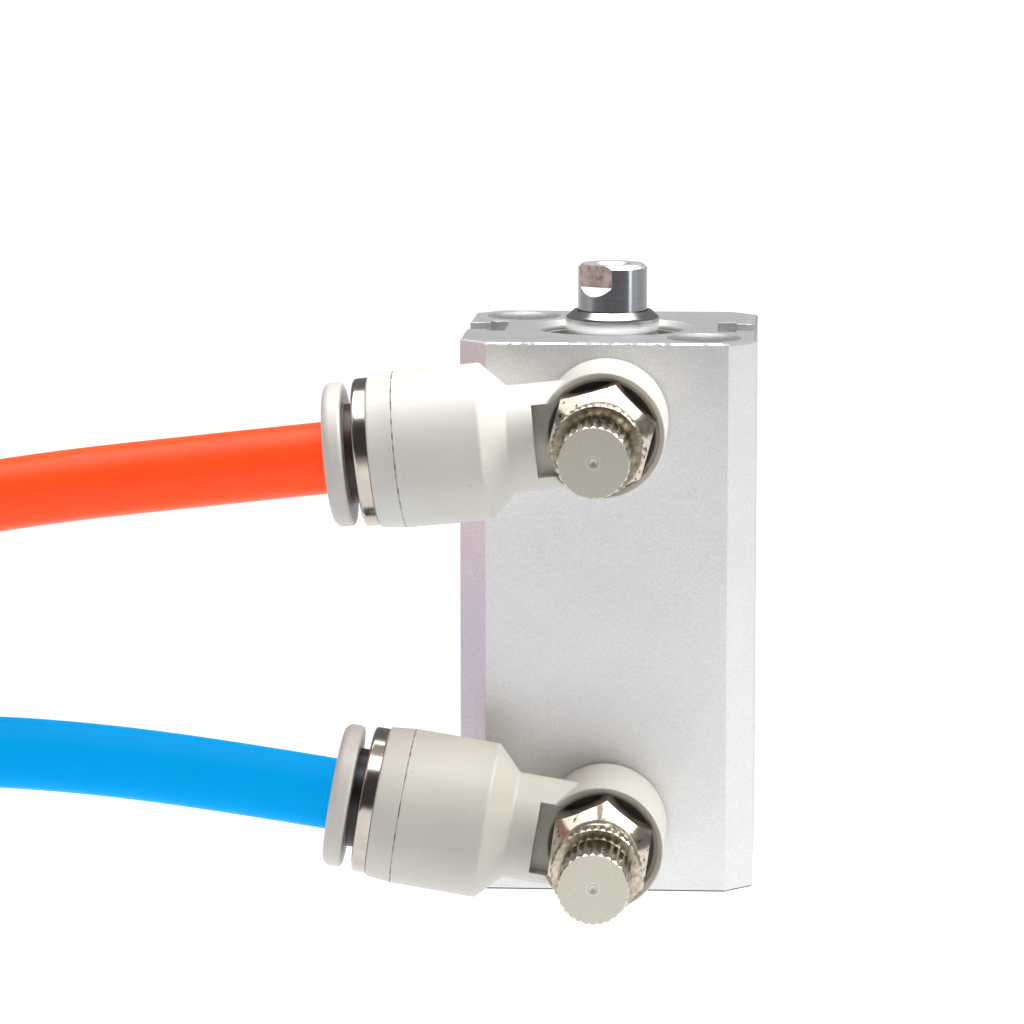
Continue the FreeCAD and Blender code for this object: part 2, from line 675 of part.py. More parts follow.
def make_tube(name, points):
    """A hollow tube along straight runs joined by arcs as large as the runs allow."""
    edges = []
    radii = []
    length = 0.0
    last = points[0]
    for back, here, ahead in zip(points, points[1:], points[2:]):
        to_back = back - here
        to_ahead = ahead - here
        turn = math.pi - to_back.getAngle(to_ahead)
        reach = 0.45 * min(to_back.Length, to_ahead.Length)
        radius = reach / math.tan(turn / 2)
        start = here + to_back.normalize() * reach
        end = here + to_ahead.normalize() * reach
        inward = (to_back + to_ahead).normalize()
        middle = here + inward * (radius / math.cos(turn / 2) - radius)
        edges.append(Part.LineSegment(last, start).toShape())
        edges.append(Part.Arc(start, middle, end).toShape())
        length += (start - last).Length + radius * turn
        radii.append(round(radius, 1))
        last = end
    edges.append(Part.LineSegment(last, points[-1]).toShape())
    length += (points[-1] - last).Length
    path = Part.Wire(edges)
    heading = points[1] - points[0]
    solids = []
    for radius in (tube_radius, tube_bore / 2):
        section = Part.Wire(Part.makeCircle(radius, points[0], heading))
        solids.append(path.makePipeShell([section], True, False))
    tube = solids[0].cut(solids[1])
    expected = math.pi * (tube_radius ** 2 - (tube_bore / 2) ** 2) * length
    ratio = round(tube.Volume / expected, 4)
    print(name, "length", round(length, 1), "bend radii", radii, "volume ratio", ratio)
    return tube


def make_coil(low):
    """The outer shape of a flat wound coil."""
    edge = tube_radius / 2
    outer = coil_radius + tube_radius
    inner = coil_radius - tube_radius
    coil = turned((inner, low, edge), (outer, low, edge), (outer, low + coil_height, edge),
                  (inner, low + coil_height, edge))
    coil.translate(Vector(coil_center_x, coil_center_y, 0))
    return coil


def make_ties():
    """Two flat bands round both coils."""
    low = lower_coil_z - lay_gap / 2
    high = upper_coil_z + coil_height + lay_gap / 2
    inner = coil_radius - tube_radius - lay_gap
    outer = coil_radius + tube_radius + lay_gap
    ties = []
    for turn in tie_turns:
        band = Part.makeBox(outer - inner + 2 * tie_thickness, tie_width, high - low + 2 * tie_thickness,
                            Vector(inner - tie_thickness, -tie_width / 2, low - tie_thickness))
        inside = Part.makeBox(outer - inner, tie_width, high - low, Vector(inner, -tie_width / 2, low))
        band = band.cut(inside)
        band.rotate(Vector(0, 0, 0), Z_AXIS, turn)
        band.translate(Vector(coil_center_x, coil_center_y, 0))
        ties.append(band)
    return Part.makeCompound(ties)


def make_nodes():
    nodes = {"barrel": make_barrel(), "piston_rod": make_rod()}
    nodes.update(make_front_end())
    nodes.update(make_rear_end())
    nodes.update(make_piston())
    elbow_pieces = make_elbow()
    upper = ("upper", front_port_z, upper_tilt, upper_hex_turn, upper_turns_open, upper_route, upper_coil_z)
    lower = ("lower", rear_port_z, lower_tilt, lower_hex_turn, lower_turns_open, lower_route, lower_coil_z)
    for fitting, colour in ((upper, "red"), (lower, "blue")):
        level, port_z, tilt, hex_turn, turns_open, route, coil_z = fitting
        for name, shape in make_screw(hex_turn, turns_open).items():
            nodes[level + "_" + name] = placed(shape, port_z, 0)
        for name, shape in elbow_pieces.items():
            nodes[level + "_" + name] = placed(shape, port_z, tilt)
        tube_name = colour + "_tube"
        nodes[tube_name] = make_tube(tube_name, tube_points(port_z, tilt, route, coil_z))
        nodes[tube_name + "_coil"] = make_coil(coil_z)
    nodes["tube_ties"] = make_ties()
    return nodes


os.makedirs("parts", exist_ok=True)
for node_name, node_shape in make_nodes().items():
    solids = len(node_shape.Solids)
    print(node_name, "solids", solids, "volume", round(node_shape.Volume, 2), "valid", node_shape.isValid())
    node_shape.exportStep("parts/" + node_name + ".step")
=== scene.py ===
# %% [markdown]
# # A compact air cylinder with two flow-control fittings
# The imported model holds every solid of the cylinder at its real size, in metres. This lesson dresses it: a camera
# at the picture's viewpoint, a pale studio, the two air tubes as smooth flexible hoses, and a finish for every
# piece. The frame comes first, because everything else is placed from it.

# %% Load the frame
import json
import math

import bmesh
import bpy
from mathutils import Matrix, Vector


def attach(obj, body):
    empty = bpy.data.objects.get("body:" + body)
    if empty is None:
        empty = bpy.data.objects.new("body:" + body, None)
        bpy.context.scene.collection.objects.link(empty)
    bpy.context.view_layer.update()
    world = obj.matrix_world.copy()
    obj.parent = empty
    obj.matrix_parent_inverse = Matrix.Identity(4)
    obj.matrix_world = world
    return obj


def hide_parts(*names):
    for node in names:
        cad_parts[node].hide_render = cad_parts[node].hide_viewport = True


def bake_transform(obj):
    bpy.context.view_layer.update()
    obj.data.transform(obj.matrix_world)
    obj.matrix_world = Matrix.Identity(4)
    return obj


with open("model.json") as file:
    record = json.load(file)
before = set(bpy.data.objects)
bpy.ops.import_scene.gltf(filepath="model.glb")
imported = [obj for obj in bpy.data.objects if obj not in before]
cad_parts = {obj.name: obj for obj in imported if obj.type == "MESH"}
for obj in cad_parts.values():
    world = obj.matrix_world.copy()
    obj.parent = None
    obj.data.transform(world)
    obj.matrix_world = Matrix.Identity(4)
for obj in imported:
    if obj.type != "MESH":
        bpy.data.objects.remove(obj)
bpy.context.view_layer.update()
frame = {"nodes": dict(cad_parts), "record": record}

MM = 0.001
scene = bpy.context.scene
nodes = frame["nodes"]

# %% [markdown]
# ## Camera
# The picture was taken with a long lens from a little above the top face and slightly to the right, so that the
# right side of the body is seen edge on. A long focal length keeps the body's uprights almost parallel. The values
# come from matching the body's corners to the picture. The Standard view transform keeps plain white paper white.

# %% Camera
LENS_MM = 163.6
SENSOR_MM = 36.0
CAMERA_PLACE = Vector((15.2, -400.0, 91.8)) * MM
CAMERA_DOWN = 8.67
CAMERA_TURN = 3.42
NEAREST_SEEN = 10 * MM
FARTHEST_SEEN = 20.0

camera_data = bpy.data.cameras.new("studio_camera")
camera_data.lens = LENS_MM
camera_data.sensor_width = SENSOR_MM
camera_data.clip_start = NEAREST_SEEN
camera_data.clip_end = FARTHEST_SEEN
camera = bpy.data.objects.new("studio_camera", camera_data)
camera.location = CAMERA_PLACE
camera.rotation_euler = (math.radians(90 - CAMERA_DOWN), 0, math.radians(CAMERA_TURN))
scene.collection.objects.link(camera)
scene.camera = camera
scene.view_settings.view_transform = "Standard"
print("camera at", [round(v, 4) for v in camera.location])

# %% [markdown]
# ## Air tubes
# Each tube is a hose of soft polyurethane, 6 mm outside and 4 mm inside, that leaves its fitting straight and then
# bends under its own weight. Its line is one smooth spline, and the points of the solid model's route are its
# control points. The length that the picture does not show lies beside the object in two neat layers. Each tube is
# a real hollow mesh, so that its square-cut end shows the bore.

# %% Routes
# Places along the routes and sizes of the coil are in mm.
TUBE_RADIUS_MM = 3.0
TUBE_RADIUS = TUBE_RADIUS_MM * MM
TUBE_BORE_RADIUS = 2.0 * MM
TUBE_PLANE = -19.5
COIL_CENTRE = (-95.0, 10.5)
COIL_RADIUS = 30.0
LAYER_DROP = 6.1
STEPS_PER_TURN = 16
FLAT_TURN = 270.0
DROP_TURN = 90.0

red_route = [(-9.801, 39.572), (-29.6, 37.35), (-50.5, 34.9), (-66.0, 31.4), (-80.0, 25.2), (-95.0, 22.0)]
blue_route = [(-9.716, 7.567), (-29.366, 10.838), (-46.5, 12.85), (-60.0, 13.0), (-70.5, 10.8), (-82.0, 9.7),
              (-95.0, 9.8)]


def ease(share):
    """A share, held between 0 and 1, that starts and stops gently."""
    share = min(max(share, 0), 1)
    return share * share * (3 - 2 * share)


def coil_points(top):
    """The turns of a flat coil: one layer, a drop of a quarter turn, and the layer under it."""
    step = 360 / STEPS_PER_TURN
    corner_radius = COIL_RADIUS / math.cos(math.radians(step / 2))
    count = round((2 * FLAT_TURN + DROP_TURN) / step)
    points = []
    for index in range(count):
        turn = (index + 0.5) * step
        reach = COIL_RADIUS if index == count - 1 else corner_radius
        angle = math.radians(-90 - turn)
        points.append((COIL_CENTRE[0] + reach * math.cos(angle), COIL_CENTRE[1] + reach * math.sin(angle),
                       top - LAYER_DROP * ease((turn - FLAT_TURN) / DROP_TURN)))
    return points


def spline_line(name, points):
    """Points read along a smooth spline that has these control points, in metres."""
    data = bpy.data.curves.new(name, "CURVE")
    data.dimensions = "3D"
    spline = data.splines.new("NURBS")
    spline.points.add(len(points) - 1)
    for point, place in zip(spline.points, points):
        point.co = (*(Vector(place) * MM), 1)
    spline.order_u = 3
    spline.use_endpoint_u = True
    spline.resolution_u = 8
    holder = bpy.data.objects.new(name, data)
    scene.collection.objects.link(holder)
    bpy.context.view_layer.update()
    line = bpy.data.meshes.new_from_object(holder.evaluated_get(bpy.context.evaluated_depsgraph_get()))
    places = [vertex.co.copy() for vertex in line.vertices]
    bpy.data.objects.remove(holder)
    return places


print("routes of", len(red_route), "and", len(blue_route), "points, with a coil of", len(coil_points(0)), "more")

# %% Hollow tube mesh
TUBE_SIDES = 48
RIM_ROUND = 0.15 * MM


def tube_ring(mesh, place, ahead, radius):
    """A ring of vertices square to the line."""
    side = Vector((0, 0, 1)).cross(ahead).normalized()
    crown = ahead.cross(side)
    turns = [2 * math.pi * k / TUBE_SIDES for k in range(TUBE_SIDES)]
    return [mesh.verts.new(place + radius * (math.cos(turn) * side + math.sin(turn) * crown)) for turn in turns]


def skin(mesh, near, far):
    """Faces between two rings."""
    for k in range(len(near)):
        j = (k + 1) % len(near)
        mesh.faces.new((near[k], near[j], far[j], far[k]))


def smooth_piece(name, mesh):
    """A finished mesh as a smoothly shaded piece of the scene."""
    data = bpy.data.meshes.new(name)
    mesh.to_mesh(data)
    mesh.free()
    data.shade_smooth()
    piece = bpy.data.objects.new(name, data)
    scene.collection.objects.link(piece)
    return piece


def hollow_tube(name, line):
    """A hollow tube along a line, with square-cut ends and a small round at each rim."""
    mesh = bmesh.new()
    walls = []
    for radius in (TUBE_RADIUS, TUBE_BORE_RADIUS):
        rings = []
        for index, place in enumerate(line):
            ahead = line[min(index + 1, len(line) - 1)] - line[max(index - 1, 0)]
            rings.append(tube_ring(mesh, place, ahead.normalized(), radius))
        for near, far in zip(rings, rings[1:]):
            skin(mesh, near, far)
        walls.append(rings)
    rims = []
    for end in (0, -1):
        skin(mesh, walls[0][end], walls[1][end])
        for rings in walls:
            circle = rings[end]
            rims += [mesh.edges.get((circle[k - 1], circle[k])) for k in range(TUBE_SIDES)]
    bmesh.ops.recalc_face_normals(mesh, faces=mesh.faces)
    bmesh.ops.bevel(mesh, geom=rims, offset=RIM_ROUND, segments=2, affect="EDGES")
    return smooth_piece(name, mesh)


print("tube of", TUBE_SIDES, "sides with a wall of", round((TUBE_RADIUS - TUBE_BORE_RADIUS) / MM, 2), "mm")

# %% [markdown]
# ## Woven ties
# Two short woven bands hold the coils together. A band is a flat strip that runs round the four layers, hugs the
# round tubes at the top and the bottom, and laps over its own start on the inner side, where it sticks to itself.
# Sweeping a thin section with rounded edges along that path gives both the lap and the soft edges.

# %% Ties round the coils
# All sizes here are in mm, and the turns are in degrees round the coil.
TIE_TURNS = (60.0, 210.0)
TIE_HALF_WIDTH = 1.95
TIE_HALF_THICK = 0.24
TIE_CLEARANCE = 0.06
TIE_START = 6.0
TIE_LAP = 9.0
TIE_RISE = 3.0
TIE_STEP = 0.5
COIL_LOW = 0.7
COIL_HIGH = 25.0
STRIP_PLACE = "strip_place_mm"
# How far in from the tie's side, and how thick above its middle there.
TIE_EDGE = ((0.0, 0.0), (0.12, 0.2), (0.35, TIE_HALF_THICK))

straight = COIL_HIGH - COIL_LOW - 2 * TUBE_RADIUS_MM
arc = math.pi * TUBE_RADIUS_MM
loop = 2 * (straight + arc)
left_edge = [(inset - TIE_HALF_WIDTH, thick) for inset, thick in TIE_EDGE]
right_edge = [(-sideways, thick) for sideways, thick in reversed(left_edge[1:])]
upper_skin = left_edge + [(0.0, TIE_HALF_THICK)] + right_edge
tie_section = upper_skin + [(-sideways, -thick) for sideways, thick in upper_skin]


def tie_spot(walked, lift):
    """Place and outward direction, as (radius, height), after walking round the four layers of tube."""
    bend = TUBE_RADIUS_MM + lift
    walked %= loop
    upper_half = walked >= straight + arc
    walked -= (straight + arc) if upper_half else 0
    if walked < straight:
        out = Vector((-1.0, 0.0))
        spot = Vector((COIL_RADIUS - bend, COIL_HIGH - TUBE_RADIUS_MM - walked))
    else:
        turn = (walked - straight) / TUBE_RADIUS_MM
        out = Vector((-math.cos(turn), -math.sin(turn)))
        spot = Vector((COIL_RADIUS, COIL_LOW + TUBE_RADIUS_MM)) + bend * out
    if upper_half:
        out = -out
        spot = Vector((2 * COIL_RADIUS, COIL_LOW + COIL_HIGH)) - spot
    return spot, out


def woven_ties(name):
    """Both ties as one mesh: a swept strip that laps over its own start."""
    mesh = bmesh.new()
    strip_place = mesh.verts.layers.float_vector.new(STRIP_PLACE)
    for turn in TIE_TURNS:
        outward = Vector((math.cos(math.radians(turn)), math.sin(math.radians(turn)), 0))
        across = Vector((-outward.y, outward.x, 0))
        rings = []
        for index in range(int((loop + TIE_LAP) / TIE_STEP) + 1):
            walked = index * TIE_STEP
            over_itself = ease((walked - loop + TIE_RISE) / TIE_RISE)
            spot, out = tie_spot(walked + TIE_START,
                                 TIE_CLEARANCE + TIE_HALF_THICK + 2 * TIE_HALF_THICK * over_itself)
            ring = []
            for sideways, thick in tie_section:
                reach = spot.x + thick * out.x
                place = Vector((COIL_CENTRE[0], COIL_CENTRE[1], spot.y + thick * out.y))
                corner = mesh.verts.new((place + reach * outward + sideways * across) * MM)
                corner[strip_place] = (sideways, walked, 0)
                ring.append(corner)
            rings.append(ring)
        for near, far in zip(rings, rings[1:]):
            skin(mesh, near, far)
        mesh.faces.new(rings[0])
        mesh.faces.new(rings[-1])
    bmesh.ops.recalc_face_normals(mesh, faces=mesh.faces)
    return smooth_piece(name, mesh)


ties = woven_ties("woven_ties")
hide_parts("tube_ties")
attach(ties, "barrel")
print("ties", len(TIE_TURNS), "bands,", len(ties.data.polygons), "faces")

# %% [markdown]
# ## Both tubes
# The two tubes differ only in route, length and fitting, so one loop makes them. A fitting can swivel while the
# coil stays put.

# %% Red and blue tubes
tubes = {}
for colour, level, route in (("red", "upper", red_route), ("blue", "lower", blue_route)):
    control = [(x, TUBE_PLANE, z) for x, z in route] + coil_points(route[-1][1])
    line = spline_line(colour + "_line", control)
    tube = hollow_tube(colour + "_air_tube", line)
    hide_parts(colour + "_tube", colour + "_tube_coil")
    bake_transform(tube)
    tubes[colour] = tube
    print(colour, "tube", round(sum((b - a).length for a, b in zip(line, line[1:])), 4), "m,", len(line), "points")

# %% [markdown]
# ## Tools for materials
# Colours are picked as sRGB hex values, the way a colour picker shows them, and shaders want linear light, so one
# function converts. A second function adds any shader node with its settings and its links, which keeps each
# material readable as a short list of steps. Two more start a material and feed its surface shader.

# %% Colour and node helpers
def linear(hex_colour):
    """An sRGB hex value as the linear colour that a shader expects."""
    channels = []
    for start in (1, 3, 5):
        value = int(hex_colour[start:start + 2], 16) / 255
        channels.append(value / 12.92 if value <= 0.04045 else ((value + 0.055) / 1.055) ** 2.4)
    return (*channels, 1.0)


def add(tree, kind, settings=None, inputs=None, stops=()):
    """Adds a node with its settings, its links and, for a colour ramp, its (position, hex colour) stops.

    An input is a plain value, a node, whose first output is linked, or a (node, output) pair.
    """
    node = tree.nodes.new(kind)
    for name, value in (settings or {}).items():
        setattr(node, name, value)
    for name, value in (inputs or {}).items():
        source = (value, 0) if isinstance(value, bpy.types.Node) else value
        if isinstance(source, tuple) and isinstance(source[0], bpy.types.Node):
            tree.links.new(source[0].outputs[source[1]], node.inputs[name])
        else:
            node.inputs[name].default_value = source
    while stops and len(node.color_ramp.elements) < len(stops):
        node.color_ramp.elements.new(0.5)
    for index, (position, colour) in enumerate(stops):
        node.color_ramp.elements[index].position = position
        node.color_ramp.elements[index].color = linear(colour)
    return node


def new_material(name, **values):
    """A node material and its tree, with plain values set on its surface shader."""
    material = bpy.data.materials.new(name)
    material.use_nodes = True
    tree = material.node_tree
    for socket, value in values.items():
        tree.nodes["Principled BSDF"].inputs[socket.replace("_", " ")].default_value = value
    return material, tree


def feed(tree, **sources):
    """Links the first output of each node to the surface shader's socket of that name."""
    for socket, node in sources.items():
        tree.links.new(node.outputs[0], tree.nodes["Principled BSDF"].inputs[socket.replace("_", " ")])


print("#808080 is", round(linear("#808080")[0], 3), "in linear light")

# %% [markdown]
# ## Studio
# The object stands on plain white with hardly a shadow. A wide light table gives that: opal acrylic, lit from
# below. It is darker towards the camera, out of the picture, and only just white behind the object, so that the
# silver body does not burn out from the back. The sky is dark low down and bright above. Shiny metal needs those
# differences to mirror, or it looks like grey paint. One large soft panel hangs overhead, drawn in the sky itself,
# and an upright strip on the right puts a thin line of light on the rod. Two small boxes, a strong one on the
# upper right and a weak one on the upper left, model the fittings. Light linking keeps all three off the silver
# body, which would burn out, as a black flag does in a real studio.

# %% Floor
FLOOR_SIZE = 16.0
SHADE_START = -0.45
SHADE_END = 0.05
FLOOR_SHADES = [(0.0, "#4C4C4C"), (0.4, "#727272"), (0.66, "#ADADAD"), (0.8, "#ADADAD"), (0.9, "#A9A9A9"),
                (0.98, "#9B9B9B")]

half = FLOOR_SIZE / 2
floor_mesh = bpy.data.meshes.new("studio_floor")
floor_mesh.from_pydata([(-half, -half, 0), (half, -half, 0), (half, half, 0), (-half, half, 0)], [], [(0, 1, 2, 3)])
floor = bpy.data.objects.new("studio_floor", floor_mesh)
scene.collection.objects.link(floor)

floor_panel, tree = new_material("backlit_opal_acrylic", Base_Color=linear("#5C5C5C"), Roughness=0.9,
                                 Specular_IOR_Level=0.1, Emission_Strength=3.0)
place = add(tree, "ShaderNodeTexCoord")
axes = add(tree, "ShaderNodeSeparateXYZ", inputs={"Vector": (place, "Object")})
depth = add(tree, "ShaderNodeMapRange",
            inputs={"Value": (axes, "Y"), "From Min": SHADE_START, "From Max": SHADE_END})
feed(tree, Emission_Color=add(tree, "ShaderNodeValToRGB", inputs={"Fac": depth}, stops=FLOOR_SHADES))
floor.data.materials.append(floor_panel)
print("floor", FLOOR_SIZE, "m wide, of", floor_panel.name)

# %% Sky
SKY_STRENGTH = 6.4
ROOM_SHADES = [(0.15, "#1B1A1A"), (0.45, "#343434"), (0.9, "#343434")]
PANEL_RIM = (0.84, 0.92)

world = bpy.data.worlds.new("studio_sky")
world.use_nodes = True
scene.world = world
sky = world.node_tree
way = add(sky, "ShaderNodeTexCoord")
axes = add(sky, "ShaderNodeSeparateXYZ", inputs={"Vector": (way, "Generated")})
depth = add(sky, "ShaderNodeMapRange", inputs={"Value": (axes, "Y"), "From Min": -1.0, "From Max": 1.0})
room = add(sky, "ShaderNodeValToRGB", inputs={"Fac": depth}, stops=ROOM_SHADES)
panel = add(sky, "ShaderNodeMapRange", {"interpolation_type": "SMOOTHSTEP"},
            {"Value": (axes, "Z"), "From Min": PANEL_RIM[0], "From Max": PANEL_RIM[1]})
glow = add(sky, "ShaderNodeMix", {"data_type": "RGBA"}, {"Factor": panel, 6: room, 7: linear("#EAEAEA")})
sky.links.new(glow.outputs[2], sky.nodes["Background"].inputs["Color"])
sky.nodes["Background"].inputs["Strength"].default_value = SKY_STRENGTH
print("sky of strength", SKY_STRENGTH, "with a panel overhead")

# %% Soft boxes
def soft_light(name, place, aim, width, tall, watts, colour):
    """A rectangular soft box that points at a spot; places and sizes in metres."""
    data = bpy.data.lights.new(name, "AREA")
    data.shape = "RECTANGLE"
    data.size = width
    data.size_y = tall
    data.energy = watts
    data.color = linear(colour)[:3]
    light = bpy.data.objects.new(name, data)
    light.location = place
    light.rotation_euler = (Vector(aim) - Vector(place)).to_track_quat("-Z", "Y").to_euler()
    light.visible_camera = False
    scene.collection.objects.link(light)
    return light


body_middle = (0, 0, 0.025)
above_rod = (0, 0, 0.12)
lights = [soft_light("right_strip", (0.28, -0.14, 0.18), above_rod, width=0.06, tall=0.34, watts=0.35,
                     colour="#FFFFFF"),
          soft_light("right_box", (0.38, -0.04, 0.40), body_middle, width=0.25, tall=0.25, watts=2.7,
                     colour="#FFFDF6"),
          soft_light("left_box", (-0.36, -0.03, 0.42), body_middle, width=0.30, tall=0.30, watts=0.5,
                     colour="#FFFFFF")]
lit_pieces = bpy.data.collections.new("lit_by_the_boxes")
for name, node in nodes.items():
    if name.startswith(("upper_", "lower_", "piston_rod")):
        lit_pieces.objects.link(node)
for light in lights:
    light.light_linking.receiver_collection = lit_pieces

# %% [markdown]
# ## Polyurethane tube
# Polyurethane hose is extruded, coloured all through and slightly clear, with a smooth glossy skin. Light goes a
# little way in, and the pigment is a bright signal colour. A glow of the same tint is painted light, so that even
# the shade side stays bright and saturated. Very faint ripples come from the die.

# %% Tube materials
HOSE_CLOUD_MM = 9.0
RIPPLE_MM = 2.5


def polyurethane(name, colour, deep, gloss, painted_glow_colour, glow):
    """Extruded polyurethane: glossy, a little translucent, with faint cloudy variation and a painted glow of its
    tint.
    """
    material, tree = new_material(name, Roughness=0.32, Specular_IOR_Level=gloss, Subsurface_Weight=1.0,
                                  Subsurface_Radius=(1.0, 0.9, 0.8), Subsurface_Scale=4.0 * MM,
                                  Emission_Color=linear(painted_glow_colour), Emission_Strength=glow)
    place = add(tree, "ShaderNodeTexCoord")
    cloud = add(tree, "ShaderNodeTexNoise",
                inputs={"Vector": (place, "Object"), "Scale": 1 / (HOSE_CLOUD_MM * MM)})
    tint = add(tree, "ShaderNodeValToRGB", inputs={"Fac": cloud}, stops=[(0.3, deep), (0.7, colour)])
    ripple = add(tree, "ShaderNodeTexNoise",
                 inputs={"Vector": (place, "Object"), "Scale": 1 / (RIPPLE_MM * MM)})
    bump = add(tree, "ShaderNodeBump", inputs={"Strength": 0.05, "Distance": 0.1 * MM, "Height": ripple})
    feed(tree, Base_Color=tint, Normal=bump)
    return material


# Each tube glows a little in its own tint: painted light that keeps its shade side bright.
hoses = {"red": polyurethane("red_extruded_polyurethane", "#F85626", "#F84E22", gloss=0.13,
                             painted_glow_colour="#FF5628", glow=0.32),
         "blue": polyurethane("blue_extruded_polyurethane", "#056EAC", "#0468A6", gloss=0.02,
                              painted_glow_colour="#059CD4", glow=0.72)}
for colour, hose in hoses.items():
    tubes[colour].data.materials.append(hose)
    print(tubes[colour].name, "finished in", hose.name)

# %% [markdown]
# ## Marks over a finish
# Wear, moulding lines and machined spots are all the same trick: a mask that is 1 where the mark is, and a colour
# mixed over the base by it. A mask can come from a place on the piece, such as a height, from the way that a face
# looks, or from noise.

# %% Mark helpers
def mark(tree, mask, value, socket="Base Color"):
    """Mixes a hex colour, or a plain value, over what feeds the shader's socket, where the mask is 1."""
    target = tree.nodes["Principled BSDF"].inputs[socket]
    before = target.links[0].from_socket
    if isinstance(value, str):
        over = add(tree, "ShaderNodeMix", {"data_type": "RGBA"}, {"Factor": mask, 7: linear(value)})
        first, result = over.inputs[6], over.outputs[2]
    else:
        over = add(tree, "ShaderNodeMix", inputs={"Factor": mask, 3: value})
        first, result = over.inputs[2], over.outputs[0]
    tree.links.new(before, first)
    tree.links.new(result, target)


def from_line(tree, along, through):
    """Distance from a straight line along X, Y or Z through a point in mm, as a (node, output) pair."""
    keep = [0.0 if axis == along else 1.0 for axis in "XYZ"]
    place = add(tree, "ShaderNodeTexCoord")
    offset = add(tree, "ShaderNodeVectorMath", {"operation": "SUBTRACT"},
                 {0: (place, "Object"), 1: Vector(through) * MM})
    square = add(tree, "ShaderNodeVectorMath", {"operation": "MULTIPLY"}, {0: offset, 1: keep})
    return add(tree, "ShaderNodeVectorMath", {"operation": "LENGTH"}, {0: square}), "Value"


# %% [markdown]
# ## Bead-blasted aluminium
# The body is an aluminium extrusion, blasted with fine beads and anodised clear. Blasting leaves tiny pits, about
# a tenth of a millimetre across, that break up reflections into a soft silver sheen. The pits are a bump and a
# small change of tone. The ends were sawn and then blasted, so the edges keep a small ragged burr: a bevel in the
# shader catches light along the edges, noise changes its width, and the burr on the front edge has darker nicks.
# The edge that the body stands on is painted shade, dark where it meets the floor. The covers' seat and the screw
# heads' counterbores were turned afterwards and are paler and duller, and the counterbores have a rounded rim that
# catches the light.

# %% Aluminium body
# Sizes are in mm. The pits are drawn twice as coarse as real ones, which would be too fine to show.
PIT_MM = 0.22
BLAST_CLOUD_MM = 5.0
BURR_MM = 0.45
BURR_ROUND = (0.04, 0.26)
COUNTERBORE_ROUND = 0.8
SEAT_RADIUS = 7.02
HEAD_SEAT_RADIUS = 3.35
HEAD_SEATS = ((8.1, -8.1, 0.0), (-8.1, 8.1, 0.0))
BODY_AXIS = (0.0, 0.0, 0.0)
# How a face looks, from the parts of its normal: a slant of 45 degrees, give or take, and up and forward at once.
SLANT = 0.707
SLANT_SPREAD = 0.25
FRONT_EDGE_LEAN = 1.3
NICK_LEVEL = 0.52


